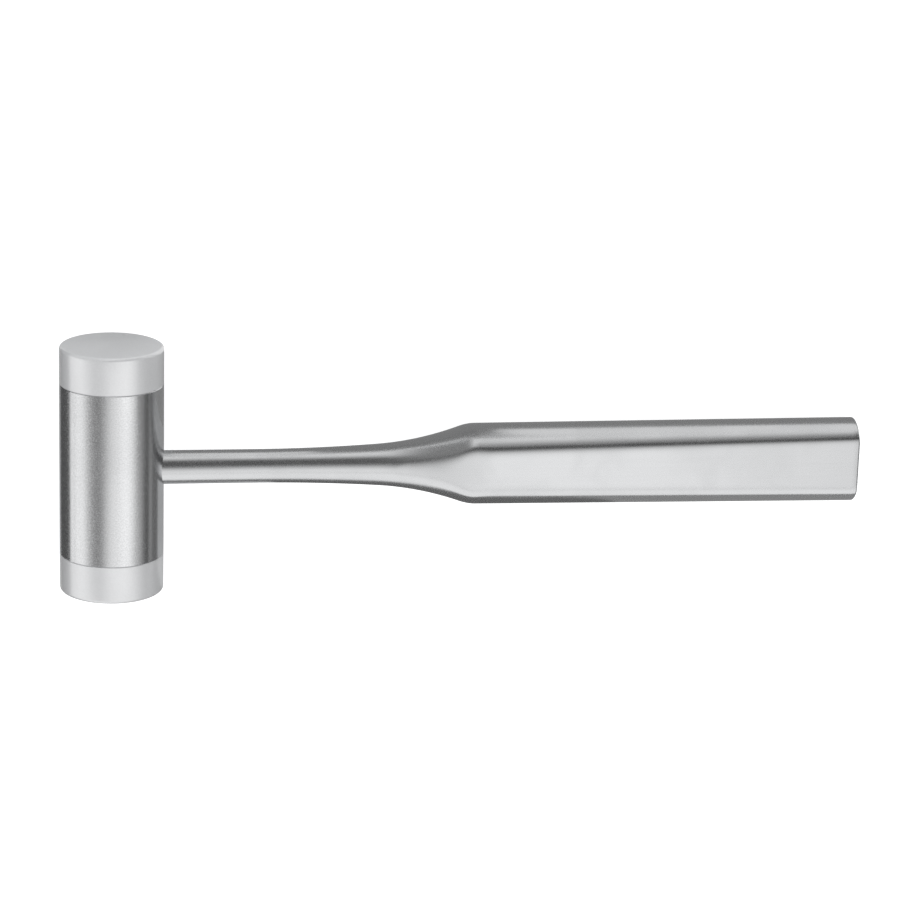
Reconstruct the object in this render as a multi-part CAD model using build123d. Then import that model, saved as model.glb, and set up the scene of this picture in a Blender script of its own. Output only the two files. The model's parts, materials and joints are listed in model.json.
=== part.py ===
from build123d import *
import math
import os

# Surgical mallet with two replaceable plastic striking discs, lying at rest on its head and its butt.
# Millimetres. Every piece is made on the bench first: the head's axis is Y, the handle's axis is X and
# points towards the butt, and the grip's two flats face +Z and -Z. The last step lays the mallet down.

# Head barrel and striking discs
HEAD_DIAMETER = 25.0
BARREL_LENGTH = 42.5
DISC_THICKNESS = 9.25
DISC_RIM_RADIUS = 0.9           # rounding round each striking face
DISC_RIM_STEPS = 3              # small cones that follow the rounding
SEAM_CHAMFER = 0.15             # edge break on both sides of the joint between disc and barrel

# Screw spigot under each disc, and its bore in the barrel; the fine thread itself isn't cut
SPIGOT_DIAMETER = 16.0
SPIGOT_LENGTH = 8.5
SPIGOT_CLEARANCE = 0.1          # radial, the thread's play
SPIGOT_LEAD = 1.0               # chamfer at the spigot's tip
BORE_EXTRA_DEPTH = 1.0          # room under the spigot's tip

# Handle: tang, neck and flare, all turned round the X axis
NECK_DIAMETER = 8.15
NECK_SEAT_X = 8.0               # the neck's shoulder stops here, inside the head
TANG_DIAMETER = 6.0
TANG_LENGTH = 13.0
SOCKET_CLEARANCE = 0.05         # radial, filled by braze on the real mallet
TANG_END_ROOM = 0.5
DRILL_POINT_ANGLE = 118.0
FLARE_START_X = 34.0            # the neck starts to open here, on a long arc
LONG_ARC_RADIUS = 475.0
FLARE_BREAK_X = 64.0            # and goes on from here on a short one, up to the shoulder
SHOULDER_X = 86.5               # the flare meets the grip here
SHOULDER_DIAMETER = 20.0
SHOULDER_STEP = 0.2             # how far the turned shoulder stands outside the narrow sides, before the rounding
SHOULDER_RADIUS = 5.0           # rounding where the flare turns into the grip's narrow sides

# Grip: two flats and two bowed narrow sides, wider and thinner towards the butt
BUTT_X = 182.5
GRIP_WIDTH_AT_FLARE = SHOULDER_DIAMETER - 2 * SHOULDER_STEP
GRIP_WIDTH_AT_BUTT = 20.8
SIDE_RADIUS_AT_FLARE = GRIP_WIDTH_AT_FLARE / 2      # bow of the narrow sides, a full round here
SIDE_RADIUS_AT_BUTT = 8.1
SIDE_HALF_ANGLE = 75.0          # how far the bow is drawn before the flats cut it
FLAT_START_X = 76.0             # the flats run out on the flare here
FLAT_START_SLOPE = 0.10
FLAT_RUN_IN = 1.0
FLAT_FULL_X = 92.0              # and have their full height from here on
FLAT_DEPTH_AT_FLARE = 1.7       # how deep each flat is ground below the shoulder's round
THICKNESS_AT_FLARE = SHOULDER_DIAMETER - 2 * FLAT_DEPTH_AT_FLARE
THICKNESS_AT_BUTT = 14.0
GRIP_EDGE_RADIUS = 1.2          # rounding between flats and narrow sides
BUTT_CHAMFER = 0.4

# How far a cutting solid reaches past what it cuts, what counts as the same place, and the seam's place
CUT_MARGIN = 2.0
SAME_PLACE = 0.05
SEAM_ANGLE = 20.0               # keeps the seam of the turned surfaces off the middle of the narrow sides

HEAD_RADIUS = HEAD_DIAMETER / 2
NECK_RADIUS = NECK_DIAMETER / 2
FLAT_TAPER = (THICKNESS_AT_BUTT - THICKNESS_AT_FLARE) / 2 / (BUTT_X - FLAT_FULL_X)
TURNED_MAX_RADIUS = GRIP_WIDTH_AT_BUTT / 2 + CUT_MARGIN


def along_y(radius, low, high):
    """A cylinder round the head's axis, from low to high."""
    return Pos(0, (low + high) / 2, 0) * Rot(X=90) * Cylinder(radius, high - low)


def along_x(radius, low, high):
    """A cylinder round the handle's axis, from low to high."""
    return Pos((low + high) / 2, 0, 0) * Rot(Y=90) * Cylinder(radius, high - low)


def curve_between(start, start_slope, start_pull, end, end_slope, end_pull):
    """A smooth curve that leaves start and reaches end at the given slopes, each kept for its pull."""
    return Bezier(
        start,
        (start[0] + start_pull, start[1] + start_pull * start_slope),
        (end[0] - end_pull, end[1] - end_pull * end_slope),
        end,
    )


def rim_points():
    """Points on the quarter round between a disc's side and its striking face."""
    centre_x = HEAD_RADIUS - DISC_RIM_RADIUS
    centre_y = DISC_THICKNESS - DISC_RIM_RADIUS
    angles = [math.pi / 2 * step / DISC_RIM_STEPS for step in range(DISC_RIM_STEPS + 1)]
    return [(centre_x + DISC_RIM_RADIUS * math.cos(a), centre_y + DISC_RIM_RADIUS * math.sin(a))
            for a in angles]


def make_striking_disc():
    """One plastic disc, its seat on the barrel at Y 0 and its screw spigot below."""
    spigot_radius = SPIGOT_DIAMETER / 2
    profile = Polyline(
        (0, -SPIGOT_LENGTH),
        (spigot_radius - SPIGOT_LEAD, -SPIGOT_LENGTH),
        (spigot_radius, -SPIGOT_LENGTH + SPIGOT_LEAD),
        (spigot_radius, 0),
        (HEAD_RADIUS - SEAM_CHAMFER, 0),
        (HEAD_RADIUS, SEAM_CHAMFER),
        *rim_points(),
        (0, DISC_THICKNESS),
        (0, -SPIGOT_LENGTH),
    )
    return revolve(make_face(profile), Axis.Y)


def make_handle_socket():
    """The stepped blind hole in the barrel's side: a seat for the neck, then the tang's hole."""
    hole_radius = TANG_DIAMETER / 2 + SOCKET_CLEARANCE
    hole_end = NECK_SEAT_X - TANG_LENGTH - TANG_END_ROOM
    point_height = hole_radius / math.tan(math.radians(DRILL_POINT_ANGLE / 2))
    point = Pos(hole_end, 0, 0) * Rot(Y=-90) * Cone(
        hole_radius, 0, point_height, align=(Align.CENTER, Align.CENTER, Align.MIN))
    seat = along_x(NECK_RADIUS + SOCKET_CLEARANCE, NECK_SEAT_X, HEAD_RADIUS + CUT_MARGIN)
    return seat + along_x(hole_radius, hole_end, NECK_SEAT_X) + point


def make_disc_bore():
    """The hole for a spigot, its mouth at Y 0 and its bottom below."""
    return along_y(SPIGOT_DIAMETER / 2 + SPIGOT_CLEARANCE, -(SPIGOT_LENGTH + BORE_EXTRA_DEPTH), CUT_MARGIN)


def make_head_body():
    """The steel barrel: a blind bore in each end for a disc, and the socket for the handle."""
    half = BARREL_LENGTH / 2
    barrel = along_y(HEAD_RADIUS, -half, half)
    barrel = chamfer(barrel.edges().filter_by(GeomType.CIRCLE), SEAM_CHAMFER)
    bore = Pos(0, half, 0) * make_disc_bore()
    return barrel - bore - Rot(X=180) * bore - make_handle_socket()


def flare_break():
    """Where the flare's long arc hands over to the short one, and how steep it is there."""
    steepness = math.asin((FLARE_BREAK_X - FLARE_START_X) / LONG_ARC_RADIUS)
    return FLARE_BREAK_X, NECK_RADIUS + LONG_ARC_RADIUS * (1 - math.cos(steepness)), steepness


def short_arc():
    """Radius and centre of the arc that leaves the long one smoothly and ends on the shoulder."""
    x, y, steepness = flare_break()
    run = SHOULDER_X - x
    rise = SHOULDER_DIAMETER / 2 - y
    radius = (run ** 2 + rise ** 2) / 2 / (rise * math.cos(steepness) - run * math.sin(steepness))
    return radius, x - radius * math.sin(steepness), y + radius * math.cos(steepness)


def flare_radius(x):
    """The flare's radius at x, on whichever arc x lies."""
    if x < FLARE_BREAK_X:
        return NECK_RADIUS + LONG_ARC_RADIUS - math.sqrt(LONG_ARC_RADIUS ** 2 - (x - FLARE_START_X) ** 2)
    radius, centre_x, centre_y = short_arc()
    return centre_y - math.sqrt(radius ** 2 - (x - centre_x) ** 2)


def make_turned_handle():
    """The handle as it leaves the lathe: tang, neck and flare, with the grip still a thick round."""
    tang_radius = TANG_DIAMETER / 2
    tang_tip = NECK_SEAT_X - TANG_LENGTH
    start = (FLARE_START_X, NECK_RADIUS)
    break_x, break_y, steepness = flare_break()
    shoulder = (SHOULDER_X, SHOULDER_DIAMETER / 2)
    radius, centre_x, centre_y = short_arc()
    full_x = SHOULDER_X + (TURNED_MAX_RADIUS - shoulder[1]) * (centre_y - shoulder[1]) / (SHOULDER_X - centre_x)
    stem = Polyline(
        (tang_tip, 0),
        (tang_tip, tang_radius),
        (NECK_SEAT_X, tang_radius),
        (NECK_SEAT_X, NECK_RADIUS),
        start,
    )
    long_arc = TangentArc(start, (break_x, break_y), tangent=(1, 0))
    last_arc = TangentArc((break_x, break_y), shoulder,
                          tangent=(math.cos(steepness), math.sin(steepness)))
    blank = Polyline(
        shoulder,
        (full_x, TURNED_MAX_RADIUS),
        (BUTT_X, TURNED_MAX_RADIUS),
        (BUTT_X, 0),
        (tang_tip, 0),
    )
    return Rot(X=SEAM_ANGLE) * revolve(make_face([stem, long_arc, last_arc, blank]), Axis.X)


def side_section(x, width, side_radius):
    """The grip's cross-section at x before the flats are cut: two bowed sides and straight ends."""
    half_angle = math.radians(SIDE_HALF_ANGLE)
    centre = width / 2 - side_radius
    corner_y = centre + side_radius * math.cos(half_angle)
    corner_z = side_radius * math.sin(half_angle)
    bow = ThreePointArc((corner_y, -corner_z), (width / 2, 0), (corner_y, corner_z))
    top = Line((corner_y, corner_z), (-corner_y, corner_z))
    other_bow = ThreePointArc((-corner_y, corner_z), (-width / 2, 0), (-corner_y, -corner_z))
    bottom = Line((-corner_y, -corner_z), (corner_y, -corner_z))
    return Plane((x, 0, 0), x_dir=(0, 1, 0), z_dir=(1, 0, 0)) * make_face([bow, top, other_bow, bottom])


def make_flat_cutter():
    """What is ground away above the upper flat. Its lower side is the flat's own long profile."""
    start = (FLAT_START_X, flare_radius(FLAT_START_X))
    run_in = (start[0] - FLAT_RUN_IN, start[1] - FLAT_RUN_IN * FLAT_START_SLOPE)
    full = (FLAT_FULL_X, THICKNESS_AT_FLARE / 2)
    past_butt = (BUTT_X + CUT_MARGIN, THICKNESS_AT_BUTT / 2 + CUT_MARGIN * FLAT_TAPER)
    ceiling = TURNED_MAX_RADIUS + CUT_MARGIN
    third = (FLAT_FULL_X - FLAT_START_X) / 3
    profile = make_face([
        Line(run_in, start),
        curve_between(start, FLAT_START_SLOPE, third, full, FLAT_TAPER, third),
        Line(full, past_butt),
        Polyline(past_butt, (past_butt[0], ceiling), (run_in[0], ceiling), run_in),
    ])
    return extrude(Plane.XZ * profile, TURNED_MAX_RADIUS + CUT_MARGIN, both=True)


def round_shoulder(handle):
    """Round the edge where the flare turns into the narrow sides."""
    edges = ShapeList()
    for edge in handle.edges():
        box = edge.bounding_box()
        beside_flats = abs(edge.center().Z) < abs(edge.center().Y)
        if box.min.X > FLAT_START_X and box.max.X < SHOULDER_X and beside_flats:
            edges.append(edge)
    return fillet(edges, SHOULDER_RADIUS)


def round_flats(handle):
    """Round the long edges of both flats, from the butt to where they run out on the flare."""
    lowest_z = min(flare_radius(FLAT_START_X), THICKNESS_AT_BUTT / 2) - SAME_PLACE
    edges = ShapeList()
    for edge in handle.edges():
        box = edge.bounding_box()
        on_flat = box.min.Z > lowest_z or box.max.Z < -lowest_z
        if on_flat and box.size.X > SAME_PLACE:
            edges.append(edge)
    return fillet(edges, GRIP_EDGE_RADIUS)


def make_handle():
    """The handle: turned, narrowed by its bowed sides, ground flat twice, then its edges rounded."""
    core_end = FLAT_START_X + CUT_MARGIN
    sides = loft([
        side_section(FLAT_START_X, GRIP_WIDTH_AT_FLARE, SIDE_RADIUS_AT_FLARE),
        side_section(BUTT_X, GRIP_WIDTH_AT_BUTT, SIDE_RADIUS_AT_BUTT),
    ], ruled=True)
    core = along_x(flare_radius(core_end) + CUT_MARGIN / 2, NECK_SEAT_X - TANG_LENGTH, core_end)
    cutter = make_flat_cutter()
    handle = make_turned_handle() & (sides + core)
    handle = handle - cutter - Rot(X=180) * cutter
    handle = round_flats(round_shoulder(handle))
    butt = [edge for edge in handle.edges() if edge.bounding_box().min.X > BUTT_X - SAME_PLACE]
    return chamfer(butt, BUTT_CHAMFER)


def make_rest():
    """Lays the mallet on the surface Z 0, with its origin under the middle of its length."""
    reach = BUTT_X - BUTT_CHAMFER
    drop = THICKNESS_AT_BUTT / 2 - BUTT_CHAMFER * FLAT_TAPER
    tip = math.asin(HEAD_RADIUS / math.hypot(reach, drop)) - math.atan2(drop, reach)
    far_end = BUTT_X * math.cos(tip) + (THICKNESS_AT_BUTT / 2 - BUTT_CHAMFER) * math.sin(tip)
    head_x = (HEAD_RADIUS - far_end) / 2
    print(f"handle tips down {math.degrees(tip):.4f} degrees, head axis at X {head_x:.4f} Z {HEAD_RADIUS}")
    return Pos(head_x, 0, HEAD_RADIUS) * Rot(Y=math.degrees(tip))


disc_seat = Pos(0, BARREL_LENGTH / 2, 0)
striking_disc = make_striking_disc()
bench = {
    "head_body": make_head_body(),
    "striking_disc_upper": disc_seat * striking_disc,
    "striking_disc_lower": Rot(X=180) * disc_seat * striking_disc,
    "handle": make_handle(),
}

os.makedirs("parts", exist_ok=True)
rest = make_rest()
for name, piece in bench.items():
    placed = rest * piece
    placed.label = name
    export_step(placed, f"parts/{name}.step")
    print(f"{name}: {placed.volume / 1000:.2f} cm3, valid {placed.is_valid}")
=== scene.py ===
# %% [markdown]
# # A surgical mallet with plastic striking discs
# The mallet lies at rest on a pale table. The CAD model already holds its four pieces at their real
# size and place: the steel barrel, two plastic discs and the handle. This lesson gives them their
# finishes, turns and grinds the curved ones again on finer meshes, builds a small photo studio round
# them, and sets the camera.

import json
import math

import bpy
from mathutils import Matrix, Vector


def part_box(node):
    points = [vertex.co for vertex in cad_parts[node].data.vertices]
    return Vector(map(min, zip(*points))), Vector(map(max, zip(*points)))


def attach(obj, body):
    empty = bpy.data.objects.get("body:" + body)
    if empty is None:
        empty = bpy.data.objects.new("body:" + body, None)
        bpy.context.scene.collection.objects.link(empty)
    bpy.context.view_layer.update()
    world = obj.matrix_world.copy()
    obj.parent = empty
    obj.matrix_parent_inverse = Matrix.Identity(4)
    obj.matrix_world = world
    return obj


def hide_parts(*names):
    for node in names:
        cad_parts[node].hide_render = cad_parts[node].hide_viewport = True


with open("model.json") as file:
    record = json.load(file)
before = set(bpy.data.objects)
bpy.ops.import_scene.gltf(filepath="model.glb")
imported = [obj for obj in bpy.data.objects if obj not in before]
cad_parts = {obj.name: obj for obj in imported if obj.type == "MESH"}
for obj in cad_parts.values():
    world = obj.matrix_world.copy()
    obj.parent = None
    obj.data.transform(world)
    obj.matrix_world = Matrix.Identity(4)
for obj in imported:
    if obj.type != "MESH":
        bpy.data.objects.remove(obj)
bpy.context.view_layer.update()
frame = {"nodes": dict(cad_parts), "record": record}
nodes = frame["nodes"]
print("pieces:", sorted(nodes))

# %% [markdown]
# ## The camera
# A product photograph of a flat object is taken from above with a long lens, so that the shape is
# hardly distorted. Here the camera stands 0.85 m away, a little to the head's side and towards the
# upper disc, so that the top of that disc is just seen. Its place is worked out in the mallet's own
# axes: x along the handle from the head's axis, y along the head, z away from the table. The record's
# striking face lies on the head's axis and tells where that is.

# %% Set the camera
striking_faces = {mount["name"]: Vector(mount["pos_m"]) for mount in frame["record"]["mounts"]}
upper_face = striking_faces["striking_face_upper"]
HEAD_AXIS = Vector((upper_face.x, 0, upper_face.z))
HANDLE_TIP_ANGLE = math.radians(1.73)       # the handle tips down to the table at its butt
CAMERA_DISTANCE = 0.850
CAMERA_SIDE_ANGLE = math.radians(-8.266)
CAMERA_RISE_ANGLE = math.radians(17.009)
CAMERA_ROLL = math.radians(1.733)
CAMERA_AIM = Vector((0.084247, 0.001105, 0))        # near the middle of the handle
LENS_MM = 136.86
SENSOR_MM = 36.0
NEAREST_SEEN = 0.01
FARTHEST_SEEN = 20


def out_of_mallet_axes(vector):
    """Turns a direction from the mallet's own axes into the scene's."""
    return Matrix.Rotation(HANDLE_TIP_ANGLE, 3, "Y") @ Vector(vector)


back = Vector((math.sin(CAMERA_SIDE_ANGLE) * math.cos(CAMERA_RISE_ANGLE),
               math.sin(CAMERA_RISE_ANGLE),
               math.cos(CAMERA_SIDE_ANGLE) * math.cos(CAMERA_RISE_ANGLE)))
level_right = (-back).cross(Vector((0, 1, 0))).normalized()
level_up = level_right.cross(-back)
right = math.cos(CAMERA_ROLL) * level_right + math.sin(CAMERA_ROLL) * level_up
up = math.cos(CAMERA_ROLL) * level_up - math.sin(CAMERA_ROLL) * level_right
camera_place = HEAD_AXIS + out_of_mallet_axes(CAMERA_AIM + CAMERA_DISTANCE * back)

camera_data = bpy.data.cameras.new("camera")
camera_data.lens = LENS_MM
camera_data.sensor_fit = "HORIZONTAL"
camera_data.sensor_width = SENSOR_MM
camera_data.clip_start = NEAREST_SEEN
camera_data.clip_end = FARTHEST_SEEN
camera = bpy.data.objects.new("camera", camera_data)
turn = Matrix([out_of_mallet_axes(axis) for axis in (right, up, back)]).transposed()
camera.matrix_world = Matrix.Translation(camera_place) @ turn.to_4x4()
bpy.context.scene.collection.objects.link(camera)
bpy.context.scene.camera = camera
print("head axis at", HEAD_AXIS, "camera at", camera_place)

# %% [markdown]
# ## Helpers for node trees
# Materials are drawn as trees of nodes. Writing them by hand gets long, so one small helper adds a
# node with its settings and links its inputs in a single call. Two more use it for sums and for
# mapping a value from one range to another.

# %% Node helpers
def add_node(tree, kind, inputs=None, **settings):
    """Adds a node, sets its settings, and sets or links its inputs by name or number."""
    node = tree.nodes.new(kind)
    for name, value in settings.items():
        setattr(node, name, value)
    for name, value in (inputs or {}).items():
        if isinstance(value, bpy.types.NodeSocket):
            tree.links.new(value, node.inputs[name])
        else:
            node.inputs[name].default_value = value
    return node


def math_node(tree, operation, first, second=0.0):
    """A Math node's result."""
    return add_node(tree, "ShaderNodeMath", {0: first, 1: second}, operation=operation).outputs[0]


def range_node(tree, value, from_min, from_max, to_min, to_max):
    """Maps a value smoothly from one range to another."""
    node = add_node(tree, "ShaderNodeMapRange",
                    {"Value": value, "From Min": from_min, "From Max": from_max,
                     "To Min": to_min, "To Max": to_max}, interpolation_type="SMOOTHSTEP")
    return node.outputs["Result"]


print("node helpers ready")

# %% [markdown]
# ## Where the grain runs
# Satin steel shows fine parallel scratches and a faint stipple. On the barrel the scratches run round
# the head's axis, because it was turned in a lathe; on the handle they run along it, because it was
# ground on a belt. Both come from one noise that is stretched along the direction of the work, and
# a second, even noise gives the stipple. Three materials need it, so it is a node group with named
# inputs. They count lines and dots per millimetre, so the place is turned into millimetres first.

# %% Satin grain group
MILLIMETRES_PER_METRE = 1000.0


def new_group(name, inputs, outputs):
    """An empty shader node group with named sockets, given as name: (kind, default)."""
    tree = bpy.data.node_groups.new(name, "ShaderNodeTree")
    for label, (kind, default) in inputs.items():
        socket = tree.interface.new_socket(label, in_out="INPUT", socket_type=kind)
        if default is not None:
            socket.default_value = default
    for label, kind in outputs.items():
        tree.interface.new_socket(label, in_out="OUTPUT", socket_type=kind)
    return tree, tree.nodes.new("NodeGroupInput").outputs, tree.nodes.new("NodeGroupOutput").inputs


grain, given, made = new_group(
    "satin_grain",
    {"Vector": ("NodeSocketVector", None),
     "Lines per millimetre": ("NodeSocketVector", (1.0, 1.0, 1.0)),
     "Dots per millimetre": ("NodeSocketFloat", 3.0),
     "Line share": ("NodeSocketFloat", 0.6)},
    {"Height": "NodeSocketFloat", "Streaks": "NodeSocketFloat"})
in_millimetres = add_node(grain, "ShaderNodeVectorMath",
                          {0: given["Vector"], "Scale": MILLIMETRES_PER_METRE},
                          operation="SCALE").outputs[0]
stretched = add_node(grain, "ShaderNodeVectorMath",
                     {0: in_millimetres, 1: given["Lines per millimetre"]},
                     operation="MULTIPLY").outputs[0]
fine = add_node(grain, "ShaderNodeTexNoise",
                {"Vector": stretched, "Scale": 1.0, "Detail": 3.0, "Roughness": 0.6})
wider = add_node(grain, "ShaderNodeTexNoise",
                 {"Vector": stretched, "Scale": 0.3, "Detail": 2.0, "Roughness": 0.5})
dots = add_node(grain, "ShaderNodeTexNoise",
                {"Vector": in_millimetres, "Scale": given["Dots per millimetre"], "Detail": 2.0,
                 "Roughness": 0.5})
mixed = add_node(grain, "ShaderNodeMix",
                 {"Factor": given["Line share"], "A": dots.outputs["Fac"], "B": fine.outputs["Fac"]})
grain.links.new(mixed.outputs["Result"], made["Height"])
grain.links.new(range_node(grain, wider.outputs["Fac"], 0.3, 0.7, 0.0, 1.0), made["Streaks"])
print("group:", grain.name)

# %% [markdown]
# ## Handling marks
# A steel tool that is washed and steam cleaned many times has cloudy patches that are a little duller
# than the rest. The clouds are a soft noise with blurred borders.

# %% Cleaning haze group
haze, given, made = new_group(
    "cleaning_haze",
    {"Vector": ("NodeSocketVector", None), "Patches per metre": ("NodeSocketFloat", 60.0)},
    {"Mask": "NodeSocketFloat"})
clouds = add_node(haze, "ShaderNodeTexNoise",
                  {"Vector": given["Vector"], "Scale": given["Patches per metre"],
                   "Detail": 4.0, "Roughness": 0.55, "Distortion": 0.4})
haze.links.new(range_node(haze, clouds.outputs["Fac"], 0.35, 0.7, 0.0, 1.0), made["Mask"])
print("group:", haze.name)

# %% [markdown]
# ## From groups to a material
# Every material starts the same way: an empty tree, a Principled shader and an output. A node group
# is then placed in it with that material's own values.

# %% Material helpers
def new_material(name):
    """A material with an empty tree, its Principled shader and its output."""
    material = bpy.data.materials.new(name)
    material.use_nodes = True
    tree = material.node_tree
    tree.nodes.clear()
    shader = tree.nodes.new("ShaderNodeBsdfPrincipled")
    output = tree.nodes.new("ShaderNodeOutputMaterial")
    tree.links.new(shader.outputs["BSDF"], output.inputs["Surface"])
    return material, tree, shader


def place_group(tree, group, inputs):
    """Places a node group in a material and returns its outputs."""
    return add_node(tree, "ShaderNodeGroup", inputs, node_tree=group).outputs


print("material helpers ready")

# %% [markdown]
# ## Satin steel for the barrel
# The barrel is stainless steel, turned and then finished to a satin sheen that doesn't dazzle under a
# theatre lamp. Metallic is 1, the grain moves the colour, the roughness and the height, and the haze
# dulls it here and there.

# %% Barrel steel
BARREL_COLOUR = (0.690, 0.695, 0.703)
STREAK_DARKENING = 0.03
HAZE_TONE = 0.965
HAZE_ROUGHNESS = 0.03
SMOOTHER = 0.04                             # how far the grain lowers the roughness
ROUGHER = 0.05                              # and how far it raises it
BUMP_DISTANCE = 0.00001
STEEL_BUMP = 0.4
BUMP_IN_CLEAR = 0.625                       # the haze lets the grain stand out more
BUMP_IN_HAZE = 1.5


def make_steel(name, colour, lines, line_share, grain_depth, roughness, turned, patches):
    """A satin stainless steel whose grain has so many lines per millimetre on each axis."""
    material, tree, shader = new_material(name)
    shader.inputs["Metallic"].default_value = 1.0
    position = add_node(tree, "ShaderNodeTexCoord").outputs["Object"]
    own_axes = add_node(tree, "ShaderNodeMapping",
                        {"Vector": position, "Rotation": (0.0, -turned, 0.0)}).outputs[0]
    lay = place_group(tree, grain, {"Vector": own_axes, "Lines per millimetre": lines,
                                    "Line share": line_share})
    cloud = place_group(tree, haze, {"Vector": own_axes, "Patches per metre": patches})["Mask"]

    streak_tone = range_node(tree, lay["Streaks"], 0.0, 1.0, 1.0 - STREAK_DARKENING * line_share, 1.0)
    cloud_tone = range_node(tree, cloud, 0.0, 1.0, 1.0, HAZE_TONE)
    grain_tone = range_node(tree, lay["Height"], 0.3, 0.7, 1.0 - grain_depth, 1.0 + grain_depth)
    tone = math_node(tree, "MULTIPLY", math_node(tree, "MULTIPLY", streak_tone, cloud_tone), grain_tone)
    shaded = add_node(tree, "ShaderNodeVectorMath", {0: colour, "Scale": tone}, operation="SCALE")
    tree.links.new(shaded.outputs[0], shader.inputs["Base Color"])

    grain_rough = range_node(tree, lay["Height"], 0.25, 0.75, roughness - SMOOTHER, roughness + ROUGHER)
    cloud_rough = range_node(tree, cloud, 0.0, 1.0, 0.0, HAZE_ROUGHNESS)
    tree.links.new(math_node(tree, "ADD", grain_rough, cloud_rough), shader.inputs["Roughness"])

    grain_share = range_node(tree, cloud, 0.0, 1.0, BUMP_IN_CLEAR, BUMP_IN_HAZE)
    height = math_node(tree, "MULTIPLY", lay["Height"], grain_share)
    bump = add_node(tree, "ShaderNodeBump",
                    {"Height": height, "Strength": STEEL_BUMP, "Distance": BUMP_DISTANCE})
    tree.links.new(bump.outputs["Normal"], shader.inputs["Normal"])
    return material


barrel_steel = make_steel("barrel_steel", BARREL_COLOUR, lines=(0.05, 5.0, 0.05), line_share=0.12,
                          grain_depth=0.075, roughness=0.20, turned=0.0, patches=45.0)
print("material:", barrel_steel.name)

# %% [markdown]
# ## Ground steel for the handle
# The handle is the same steel, but it was ground along its length, so its lines run from the head to
# the butt. The handle tips down to the table, so its grain is turned with it and is drawn in the
# handle's own axes, not in the scene's. Its colour is a painted shade: a little darker than the
# barrel's, so that the bright reflections on its flats come out dimmer.

# %% Handle steel
# painted shade: the barrel's steel made darker, to dim the reflections on the flats
HANDLE_SHADED_COLOUR = (0.630, 0.635, 0.643)
handle_steel = make_steel("handle_steel", HANDLE_SHADED_COLOUR, lines=(0.05, 5.0, 5.0), line_share=0.35,
                          grain_depth=0.03, roughness=0.24, turned=HANDLE_TIP_ANGLE, patches=60.0)
print("material:", handle_steel.name)

# %% [markdown]
# ## Plastic for the striking discs
# The discs take the blows of the chisel, so they are a tough plastic that can be steam cleaned: pale
# grey, with a silky skin that shows soft highlights. Its colour varies very little, in soft clouds
# and fine pores, and its roughness is the same all over, so it is set on the shader itself.

# %% Disc plastic
PLASTIC_COLOUR = (0.540, 0.545, 0.555)
PLASTIC_SKIN = {"Roughness": 0.29, "IOR": 1.9, "Specular IOR Level": 1.0,
                "Coat Weight": 1.0, "Coat IOR": 1.8, "Coat Roughness": 0.24}
PLASTIC_HAZE_TONE = 0.96
PORE_DEPTH = 0.03
PLASTIC_BUMP = 0.04
disc_plastic, tree, shader = new_material("disc_plastic")
position = add_node(tree, "ShaderNodeTexCoord").outputs["Object"]
rings = place_group(tree, grain, {"Vector": position, "Lines per millimetre": (0.05, 4.0, 0.05),
                                  "Dots per millimetre": 2.5, "Line share": 0.15})
cloud = place_group(tree, haze, {"Vector": position, "Patches per metre": 90.0})["Mask"]
cloud_shade = range_node(tree, cloud, 0.0, 1.0, 1.0, PLASTIC_HAZE_TONE)
pore_shade = range_node(tree, rings["Height"], 0.3, 0.7, 1.0 - PORE_DEPTH, 1.0 + PORE_DEPTH)
shade = math_node(tree, "MULTIPLY", cloud_shade, pore_shade)
plastic = add_node(tree, "ShaderNodeVectorMath", {0: PLASTIC_COLOUR, "Scale": shade},
                   operation="SCALE").outputs[0]
tree.links.new(plastic, shader.inputs["Base Color"])
for socket, value in PLASTIC_SKIN.items():
    shader.inputs[socket].default_value = value
bump = add_node(tree, "ShaderNodeBump",
                {"Height": rings["Height"], "Strength": PLASTIC_BUMP, "Distance": BUMP_DISTANCE})
tree.links.new(bump.outputs["Normal"], shader.inputs["Normal"])
print("material:", disc_plastic.name)

# %% [markdown]
# ## Dress the barrel
# The barrel keeps its mesh from the CAD model, because a plain turned cylinder with its edges broken
# is already right there. It only gets its finish.

# %% Give the barrel its finish
barrel = nodes["head_body"]
for slot in barrel.material_slots:
    slot.material = barrel_steel
print("barrel faces", len(barrel.data.polygons))

# %% [markdown]
# ## A lathe for the discs
# Satin surfaces show every flat of a coarse mesh, so the discs are turned again, finer. A lathe does
# it in one go: a profile of radius and height is carried round the head's axis, each pair of
# neighbouring points leaves a band of faces, and a flat face closes each end. The lower disc is the
# same profile turned downwards, and its faces are written the other way round so that they still
# look outwards. Profiles are in millimetres.

# %% Lathe helpers
TURNS = 192
MM = 0.001


def rounded_corner(centre, radius, first, last, steps):
    """Points on an arc, with its angles in degrees."""
    angles = [math.radians(first + (last - first) * i / steps) for i in range(steps + 1)]
    return [(centre[0] + radius * math.cos(a), centre[1] + radius * math.sin(a)) for a in angles]


def turn_on_head_axis(profile, side):
    """Vertices and faces of a profile turned round the head's axis; side is 1 for up, -1 for down."""
    vertices = []
    for radius, height in profile:
        for k in range(TURNS):
            a = 2 * math.pi * k / TURNS
            own = Vector((radius * math.cos(a), side * height, radius * math.sin(a))) * MM
            vertices.append(HEAD_AXIS + out_of_mallet_axes(own))
    faces = []
    for ring in range(len(profile) - 1):
        for k in range(TURNS):
            a, b = ring * TURNS + k, ring * TURNS + (k + 1) % TURNS
            faces.append((a, a + TURNS, b + TURNS, b) if side > 0 else (a, b, b + TURNS, a + TURNS))
    first = tuple(range(TURNS))
    last = tuple((len(profile) - 1) * TURNS + k for k in range(TURNS))
    faces.append(first if side > 0 else first[::-1])
    faces.append(last[::-1] if side > 0 else last)
    return vertices, faces


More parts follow.
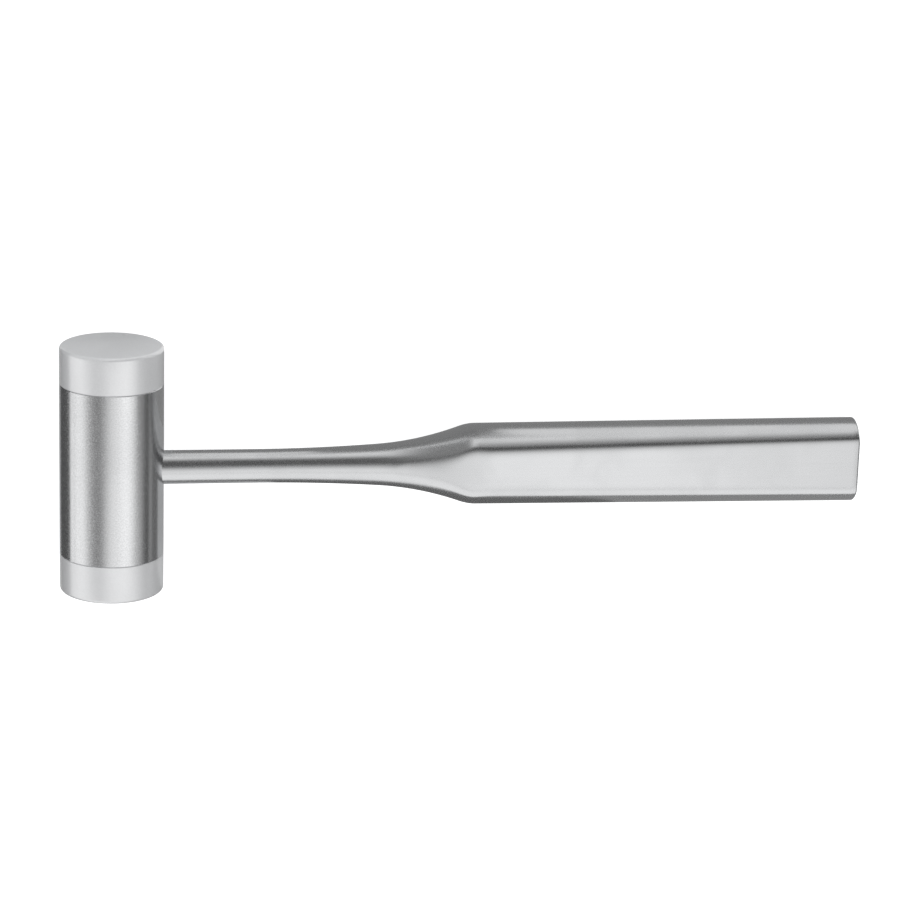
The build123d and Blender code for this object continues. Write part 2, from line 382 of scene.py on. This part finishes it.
def finish_mesh(name, vertices, faces, material, sharp_angle):
    """Makes an object that is smooth but for edges sharper than the given angle in degrees."""
    mesh = bpy.data.meshes.new(name)
    mesh.from_pydata(vertices, [], faces)
    mesh.validate()
    mesh.polygons.foreach_set("use_smooth", [True] * len(mesh.polygons))
    mesh.set_sharp_from_angle(angle=math.radians(sharp_angle))
    mesh.materials.append(material)
    made_object = bpy.data.objects.new(name, mesh)
    bpy.context.scene.collection.objects.link(made_object)
    print(name, "vertices", len(mesh.vertices), "faces", len(mesh.polygons))
    return made_object


print("lathe ready,", TURNS, "steps a turn")

# %% [markdown]
# ## Turn the discs
# The frame tells how wide the head is and how high the barrel and the discs reach. The profile runs
# from the tip of the spigot inside the barrel, out along the seam, and over the rounded rim.

# %% Turned discs
HEAD_RADIUS = HEAD_AXIS.z / MM              # the head lies on the table
BARREL_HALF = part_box("head_body")[1][1] / MM
DISC_TOP = upper_face.y / MM
SPIGOT_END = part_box("striking_disc_upper")[0][1] / MM
SPIGOT_RADIUS = 8.0
SPIGOT_LEAD = 1.0
RIM_RADIUS = 0.9
RIM_STEPS = 10
SEAM_BREAK = 0.15
DISC_SHARP_ANGLE = 30
rim_centre = (HEAD_RADIUS - RIM_RADIUS, DISC_TOP - RIM_RADIUS)
disc_profile = [
    (SPIGOT_RADIUS - SPIGOT_LEAD, SPIGOT_END),
    (SPIGOT_RADIUS, SPIGOT_END + SPIGOT_LEAD),
    (SPIGOT_RADIUS, BARREL_HALF),
    (HEAD_RADIUS - SEAM_BREAK, BARREL_HALF),
    (HEAD_RADIUS, BARREL_HALF + SEAM_BREAK),
    *rounded_corner(rim_centre, RIM_RADIUS, 0, 90, RIM_STEPS),
]
for node, side in (("striking_disc_upper", 1), ("striking_disc_lower", -1)):
    vertices, faces = turn_on_head_axis(disc_profile, side)
    disc = finish_mesh(node + "_turned", vertices, faces, disc_plastic, DISC_SHARP_ANGLE)
    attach(disc, "root")
    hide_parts(node)

# %% [markdown]
# ## The handle's sizes
# The handle starts round at the head, opens into a flare of two arcs, and ends as a grip with two
# flats and two bowed sides. All places are in millimetres from the head's axis. The short arc isn't
# chosen: it has to leave the long one smoothly and end at the shoulder, and that fixes its radius.

# %% Handle sizes
NECK_RADIUS = 4.075
FLARE_START = 34.0
LONG_ARC = 475.0
FLARE_BREAK = 64.0
SHOULDER = 86.5
SHOULDER_RADIUS = 10.0
BUTT = 182.5
GRIP_START = 76.0
FLAT_FULL = 92.0
SIDE_DISTANCE = (9.8, 10.4)                 # half the grip's width at its start and at the butt
SIDE_BOW = (9.8, 8.1)                       # radius of the bowed sides at the same places
FLAT_HEIGHT = (8.3, 7.0)                    # half the thickness at FLAT_FULL and at the butt
FLAT_SLOPE_AT_START = 0.10
FLAT_SLOPE = (FLAT_HEIGHT[1] - FLAT_HEIGHT[0]) / (BUTT - FLAT_FULL)

long_reach = math.sqrt(LONG_ARC ** 2 - (FLARE_BREAK - FLARE_START) ** 2)
break_point = Vector((FLARE_BREAK, NECK_RADIUS + LONG_ARC - long_reach))
outwards = Vector((FLARE_START - FLARE_BREAK, long_reach)) / LONG_ARC
to_shoulder = Vector((SHOULDER, SHOULDER_RADIUS)) - break_point
SHORT_ARC = to_shoulder.length_squared / (2 * to_shoulder.dot(outwards))
short_middle = break_point + SHORT_ARC * outwards
from_middle = Vector((SHOULDER, SHOULDER_RADIUS)) - short_middle
SHOULDER_SLOPE = from_middle.x / -from_middle.y
print("short arc", round(SHORT_ARC, 2), "mm, slope at the shoulder", round(SHOULDER_SLOPE, 3))

# %% [markdown]
# ## Forge and grind the handle
# Real handles are forged and then ground, so the flats don't stop at a sharp line on the flare: they
# melt into it. Here every cross-section is drawn in polar form. For each direction round the axis
# three limits are worked out - the turned round, the bowed side and the flat - and the nearest one
# wins. Near a tie the two blend, and how widely they blend is the edge's rounding.

# %% The handle's three limits
def turned_limit(x):
    """Radius of the turned form: straight neck, long arc, short arc, and on past the shoulder."""
    if x <= FLARE_START:
        return NECK_RADIUS
    if x <= FLARE_BREAK:
        return NECK_RADIUS + LONG_ARC - math.sqrt(LONG_ARC ** 2 - (x - FLARE_START) ** 2)
    if x <= SHOULDER:
        return short_middle.y - math.sqrt(SHORT_ARC ** 2 - (x - short_middle.x) ** 2)
    return SHOULDER_RADIUS + SHOULDER_SLOPE * (x - SHOULDER)


def flat_limit(x):
    """Half the thickness between the two flats: straight on the grip, a smooth curve on the flare."""
    if x >= FLAT_FULL:
        return FLAT_HEIGHT[0] + FLAT_SLOPE * (x - FLAT_FULL)
    start = turned_limit(GRIP_START)
    if x <= GRIP_START:
        return start + FLAT_SLOPE_AT_START * (x - GRIP_START)
    third = (FLAT_FULL - GRIP_START) / 3
    t = (x - GRIP_START) / (FLAT_FULL - GRIP_START)
    points = (start, start + third * FLAT_SLOPE_AT_START, FLAT_HEIGHT[0] - third * FLAT_SLOPE,
              FLAT_HEIGHT[0])
    shares = ((1 - t) ** 3, 3 * t * (1 - t) ** 2, 3 * t * t * (1 - t), t ** 3)
    return sum(point * share for point, share in zip(points, shares))


def side_limit(x, angle):
    """Distance to the bowed side in this direction from the axis."""
    t = (x - GRIP_START) / (BUTT - GRIP_START)
    distance = SIDE_DISTANCE[0] + (SIDE_DISTANCE[1] - SIDE_DISTANCE[0]) * t
    bow = SIDE_BOW[0] + (SIDE_BOW[1] - SIDE_BOW[0]) * t
    middle = distance - bow
    return middle * abs(math.cos(angle)) + math.sqrt(bow ** 2 - (middle * math.sin(angle)) ** 2)


for x in (50, 70, SHOULDER):
    print("at", x, "turned radius", round(turned_limit(x), 2), "flat", round(flat_limit(x), 2))

# %% [markdown]
# ## Sections with melted edges
# The rounding is widest where the flat runs out on the flare and a little tighter along the grip.
# A direction close to the sides never meets a flat, so it is left alone there. The round of the butt
# is made by moving the last sections inwards.

# %% Handle sections
AROUND = 256
SHOULDER_BLEND = 0.8
GRIP_BLEND = 1.0
RUN_OUT_BLEND = 1.2
RUN_OUT_OPENS = (64.0, 72.0)                # where the blend of the run-out grows
GRIP_EDGE_SETTLES = (73.0, 83.0)            # and where it narrows to the grip's
NEAR_SIDE = 0.2                             # sine of the lowest direction that can meet a flat


def ease(x, low, high):
    """0 below low, 1 above high, and smooth between."""
    t = min(1.0, max(0.0, (x - low) / (high - low)))
    return t * t * (3 - 2 * t)


def blend_least(a, b, width):
    """The smaller of two numbers, rounded off where they differ by less than width."""
    near = max(width - abs(a - b), 0.0) / width
    return min(a, b) - near * near * width / 4


def handle_section(x, inset):
    """One ring of the handle at x, moved inwards by inset."""
    edge_blend = RUN_OUT_BLEND * ease(x, *RUN_OUT_OPENS)
    edge_blend += (GRIP_BLEND - RUN_OUT_BLEND) * ease(x, *GRIP_EDGE_SETTLES)
    turned = turned_limit(x)
    flat = flat_limit(x)
    ring = []
    for k in range(AROUND):
        a = 2 * math.pi * k / AROUND
        radius = turned
        if x > GRIP_START:
            radius = blend_least(turned, side_limit(x, a), SHOULDER_BLEND)
        height = abs(math.sin(a))
        if edge_blend > 0 and height > NEAR_SIDE:
            radius = blend_least(radius, flat / height, edge_blend)
        radius -= inset
        ring.append((x, radius * math.cos(a), radius * math.sin(a)))
    return ring


middle_section = handle_section((SHOULDER + BUTT) / 2, 0.0)
print("halfway down the grip it is", round(2 * max(y for x, y, z in middle_section), 2), "wide and",
      round(2 * max(z for x, y, z in middle_section), 2), "thick")

# %% [markdown]
# ## The handle's mesh
# The sections stand close together on the flare, where the form changes fast, and further apart on
# the straight grip. The last few step inwards round the butt, which is closed by one flat face. The
# tang inside the head is part of the same piece.

# %% Handle mesh
TANG_RADIUS = 3.0
TANG_END = -5.0
NECK_SEAT = 8.0
BUTT_ROUNDING = 0.45
BUTT_STEPS = 5
CLOSE_FROM = 66.0                           # sections stand closest from here
CLOSE_TO = 96.0                             # to here, round the run-out and the shoulder
NECK_STEP = 2.0
FLARE_STEP = 1.0
CLOSE_STEP = 0.3
GRIP_STEP = 1.2
HANDLE_SHARP_ANGLE = 35


def round_ring(x, radius):
    """One ring of a plain round."""
    angles = [2 * math.pi * k / AROUND for k in range(AROUND)]
    return [(x, radius * math.cos(a), radius * math.sin(a)) for a in angles]


def steps_between(low, high, step):
    """Evenly spaced places from low up to but not including high."""
    count = round((high - low) / step)
    return [low + (high - low) * i / count for i in range(count)]


section_places = (steps_between(NECK_SEAT, FLARE_START, NECK_STEP)
                  + steps_between(FLARE_START, CLOSE_FROM, FLARE_STEP)
                  + steps_between(CLOSE_FROM, CLOSE_TO, CLOSE_STEP)
                  + steps_between(CLOSE_TO, BUTT - BUTT_ROUNDING, GRIP_STEP))
sections = [round_ring(TANG_END, TANG_RADIUS), round_ring(NECK_SEAT, TANG_RADIUS)]
sections += [handle_section(x, 0.0) for x in section_places]
for step in range(BUTT_STEPS + 1):
    a = math.radians(90 * step / BUTT_STEPS)
    sections.append(handle_section(BUTT - BUTT_ROUNDING * (1 - math.sin(a)),
                                   BUTT_ROUNDING * (1 - math.cos(a))))
handle_vertices = [HEAD_AXIS + out_of_mallet_axes(Vector(point) * MM)
                   for ring in sections for point in ring]
handle_faces = []
for ring in range(len(sections) - 1):
    for k in range(AROUND):
        a, b = ring * AROUND + k, ring * AROUND + (k + 1) % AROUND
        handle_faces.append((a, b, b + AROUND, a + AROUND))
handle_faces.append(tuple(range(AROUND))[::-1])
handle_faces.append(tuple((len(sections) - 1) * AROUND + k for k in range(AROUND)))
handle = finish_mesh("handle_ground", handle_vertices, handle_faces, handle_steel,
                     HANDLE_SHARP_ANGLE)
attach(handle, "root")
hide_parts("handle")

# %% [markdown]
# ## The table and the white background
# Catalogue photographs stand on pure white. The table is a pale grey sheet. For the camera alone it
# also glows a little, so that it reaches white and still keeps a soft shadow under the mallet. The
# glow lights nothing, so Cycles is told not to treat the table as a lamp. The table lies a hair lower
# than the mallet, so that the two don't share a surface.

# %% Table
TABLE_SIZE = 6.0
TABLE_HEIGHT = -0.00002
TABLE_COLOUR = (0.5, 0.505, 0.51, 1)
TABLE_ROUGHNESS = 0.9
TABLE_GLOW = 0.78
table_mesh = bpy.data.meshes.new("table")
table_corners = [(-1, -1, 0), (1, -1, 0), (1, 1, 0), (-1, 1, 0)]
table_mesh.from_pydata([Vector(c) * TABLE_SIZE / 2 for c in table_corners], [], [(0, 1, 2, 3)])
table = bpy.data.objects.new("table", table_mesh)
table.location.z = TABLE_HEIGHT
bpy.context.scene.collection.objects.link(table)
table_paper, tree, shader = new_material("table_paper")
shader.inputs["Base Color"].default_value = TABLE_COLOUR
shader.inputs["Roughness"].default_value = TABLE_ROUGHNESS
shader.inputs["Specular IOR Level"].default_value = 0.0
shader.inputs["Emission Color"].default_value = (1, 1, 1, 1)
ray = add_node(tree, "ShaderNodeLightPath").outputs
tree.links.new(math_node(tree, "MULTIPLY", ray["Is Camera Ray"], TABLE_GLOW),
               shader.inputs["Emission Strength"])
table_paper.cycles.emission_sampling = "NONE"
table_mesh.materials.append(table_paper)
print("table ready")

# %% [markdown]
# ## What the metal sees
# Metal has no colour of its own to photograph: it shows what stands round it. The studio's walls are
# painted in the world. They are bright beyond the head and in front, a light strip runs low behind
# the mallet, and between them it stays dark: that draws the dark lines that make the round shapes
# read as round. Two angles place every patch, in degrees from straight up: how far a direction leans
# towards the butt, and how far towards the upper disc.

# %% Painted walls
BEYOND_HEAD = 0.72
ABOVE_HEAD = 0.18
IN_FRONT = 1.04
LOW_STRIP = 0.95
STRIP_SLANT = 60.0
DARKEST = 0.1
world = bpy.data.worlds.new("studio")
world.use_nodes = True
sky = world.node_tree
sky.nodes.clear()
direction = add_node(sky, "ShaderNodeTexCoord").outputs["Generated"]
parts = add_node(sky, "ShaderNodeSeparateXYZ", {0: direction}).outputs
lean_butt = math_node(sky, "DEGREES", math_node(sky, "ARCTAN2", parts["X"], parts["Z"]))
lean_disc = math_node(sky, "DEGREES", math_node(sky, "ARCTAN2", parts["Y"], parts["Z"]))


def rise(tree, value, low, high, amount=1.0):
    """Grows smoothly from 0 to the amount as the value goes from low to high."""
    return range_node(tree, value, low, high, 0.0, amount)


def fall(tree, value, low, high, amount=1.0):
    """Shrinks smoothly from the amount to 0 as the value goes from low to high."""
    return range_node(tree, value, low, high, amount, 0.0)


beyond_head = math_node(sky, "MULTIPLY", fall(sky, lean_butt, -78.0, -36.0, BEYOND_HEAD),
                        fall(sky, parts["Y"], 0.0, 0.4))
beyond_head = math_node(sky, "ADD", beyond_head, fall(sky, lean_butt, -24.0, 6.0, ABOVE_HEAD))
front = math_node(sky, "MULTIPLY", fall(sky, lean_disc, -38.0, -22.0, IN_FRONT),
                  rise(sky, lean_disc, -98.0, -80.0))
front = math_node(sky, "MULTIPLY", front, fall(sky, lean_butt, 40.0, 84.0))
strip_angle = math_node(sky, "SUBTRACT", lean_disc,
                        math_node(sky, "MULTIPLY", parts["X"], STRIP_SLANT))
low_strip = math_node(sky, "MULTIPLY", rise(sky, strip_angle, 46.0, 74.0, LOW_STRIP),
                      rise(sky, parts["X"], -0.3, 0.0))
bright = math_node(sky, "MAXIMUM", math_node(sky, "MAXIMUM", beyond_head, front), low_strip)
seen_in_metal = math_node(sky, "ADD", bright, DARKEST)
print("walls painted")

# %% [markdown]
# ## Who sees the walls
# Only reflections see the painted walls. The camera sees plain white, and the light that falls on
# plastic and table comes from an even grey.

# %% World
WALL_LEVEL = 0.5
WHITE = 1.0
ray = add_node(sky, "ShaderNodeLightPath").outputs
level = add_node(sky, "ShaderNodeMix", {"Factor": ray["Is Glossy Ray"], "A": WALL_LEVEL,
                                        "B": seen_in_metal}).outputs["Result"]
level = add_node(sky, "ShaderNodeMix", {"Factor": ray["Is Camera Ray"], "A": level,
                                        "B": WHITE}).outputs["Result"]
air = add_node(sky, "ShaderNodeBackground", {"Color": (1, 1, 1, 1), "Strength": level})
sky_output = sky.nodes.new("ShaderNodeOutputWorld")
sky.links.new(air.outputs[0], sky_output.inputs["Surface"])
bpy.context.scene.world = world
print("world:", world.name)

# %% [markdown]
# ## Cards for the reflections
# Photographers lay white and black cards beside a shiny tool, just out of the picture, to lighten or
# darken the lower half of its round shapes. Here the cards may stand where the camera looks, because
# only reflections can see them. None of them lights the plastic, so Cycles is told not to sample them
# as lamps, which keeps the plastic free of noise.

# %% Cards on the table
CARD_HEIGHT = -0.00001


def card(name, corners, height):
    """A card for reflections alone, with corners in metres; returns its node tree and its emission."""
    material = bpy.data.materials.new(name)
    material.use_nodes = True
    tree = material.node_tree
    tree.nodes.clear()
    glow = add_node(tree, "ShaderNodeEmission", {"Color": (1, 1, 1, 1)})
    output = tree.nodes.new("ShaderNodeOutputMaterial")
    tree.links.new(glow.outputs[0], output.inputs["Surface"])
    material.cycles.emission_sampling = "NONE"
    mesh = bpy.data.meshes.new(name)
    mesh.from_pydata([(x, y, height) for x, y in corners], [], [(0, 1, 2, 3)])
    mesh.materials.append(material)
    sheet = bpy.data.objects.new(name, mesh)
    sheet.visible_camera = False
    sheet.visible_diffuse = False
    sheet.visible_transmission = False
    sheet.visible_shadow = False
    bpy.context.scene.collection.objects.link(sheet)
    return tree, glow.inputs["Strength"]


def rectangle(x_low, x_high, y_low, y_high):
    """Corners of a rectangle."""
    return [(x_low, y_low), (x_high, y_low), (x_high, y_high), (x_low, y_high)]


TABLE_CARDS = {                             # corners, and a level where 1 is white
    "white_card_behind_neck": ([(-0.07, 0.026), (-0.036, 0.026), (0.02, 0.60), (-0.03, 0.60)], 0.95),
    "grey_card_behind_flare": ([(-0.036, 0.026), (0.01, 0.026), (0.11, 0.60), (0.02, 0.60)], 0.25),
    "white_card_behind_grip": ([(0.01, 0.026), (0.60, 0.026), (0.60, 0.60), (0.11, 0.60)], 0.95),
    "grey_card_behind_handle": (rectangle(-0.07, 0.60, 0.006, 0.026), 0.28),
    "black_card_beside_head": (rectangle(-0.170, -0.105, -0.20, 0.06), 0.1),
    "white_card_beyond_head": (rectangle(-0.90, -0.170, -0.80, 0.06), 1.08),
    "dark_card_in_front": (rectangle(-0.045, 0.04, -0.80, -0.009), 0.16),
    "grey_card_in_front": (rectangle(0.04, 0.80, -0.80, -0.009), 0.32),
    "dark_card_near_head": (rectangle(-0.071, -0.045, -0.80, -0.036), 0.22),
}
for name, (corners, strength) in TABLE_CARDS.items():
    card(name, corners, CARD_HEIGHT)[1].default_value = strength
print("cards:", len(TABLE_CARDS))

# %% [markdown]
# ## Tracing paper overhead
# A large sheet of tracing paper hangs over the mallet, and the barrel and the flats show it. It is
# dim beyond the head, grows brighter towards the grip, and fades again past the butt. It also fades
# towards the upper disc along a slanting line, so that the round neck and flare keep a dark line.

# %% Overhead paper
PAPER_HEIGHT = 0.3
PAPER_LEVEL = 0.93
GRIP_PAPER_LEVEL = 0.22                     # what the grip's end of the paper adds to it
PAPER_SLANT = 0.4
DIM_LEVEL = 0.1                             # what is left where the paper has faded
DIM_LEVEL_BEYOND_HEAD = 0.18                # what the head's end adds to that
tree, paper_strength = card("overhead_paper", rectangle(-0.25, 0.75, -0.17, 0.17), PAPER_HEIGHT)
place_on_paper = add_node(tree, "ShaderNodeSeparateXYZ",
                          {0: add_node(tree, "ShaderNodeTexCoord").outputs["Object"]}).outputs
along = place_on_paper["X"]
paper = math_node(tree, "ADD", rise(tree, along, -0.25, -0.05, PAPER_LEVEL),
                  rise(tree, along, -0.06, 0.08, GRIP_PAPER_LEVEL))
paper = math_node(tree, "MULTIPLY", paper, fall(tree, along, 0.08, 0.52))
slant = math_node(tree, "SUBTRACT", place_on_paper["Y"],
                  math_node(tree, "MULTIPLY", along, PAPER_SLANT))
paper = math_node(tree, "MULTIPLY", paper, fall(tree, slant, -0.075, 0.15))
dim = math_node(tree, "ADD", fall(tree, along, -0.20, -0.04, DIM_LEVEL_BEYOND_HEAD), DIM_LEVEL)
tree.links.new(math_node(tree, "ADD", paper, dim), paper_strength)
print("paper hangs", PAPER_HEIGHT, "m above the table")

# %% [markdown]
# ## Lamps
# Four large soft lamps light the plastic and the table: one overhead, one in front, one beyond the
# head, and one behind that reaches the upper disc's face. The walls and cards already give the metal
# its reflections, so the lamps don't show in it. Their level is plain, so that nothing pale clips.

# %% Soft lamps
LAMP_AIM = Vector((0, 0, 0.01))


def soft_lamp(name, middle, width, height, level):
    """A lamp of the given size that faces the mallet, at a level where 1 is white."""
    data = bpy.data.lights.new(name, "AREA")
    data.shape = "RECTANGLE"
    data.size = width
    data.size_y = height
    data.energy = level * math.pi * width * height
    lamp = bpy.data.objects.new(name, data)
    lamp.rotation_euler = (LAMP_AIM - Vector(middle)).to_track_quat("-Z", "Y").to_euler()
    lamp.location = middle
    lamp.visible_camera = False
    lamp.visible_glossy = False
    bpy.context.scene.collection.objects.link(lamp)


soft_lamp("lamp_above", middle=(0.25, -0.45, 1.2), width=1.3, height=1.6, level=1.3)
soft_lamp("lamp_in_front", middle=(0.8, -0.8, 0.45), width=1.0, height=0.7, level=1.1)
soft_lamp("lamp_beyond_head", middle=(-1.3, -0.35, 0.5), width=1.2, height=0.8, level=2.0)
soft_lamp("lamp_behind", middle=(-0.1, 1.4, 0.6), width=1.6, height=0.8, level=3.6)
print("lamps ready")

# %% [markdown]
# The Standard view shows colours as they are written.

# %% Finish
bpy.context.scene.view_settings.view_transform = "Standard"
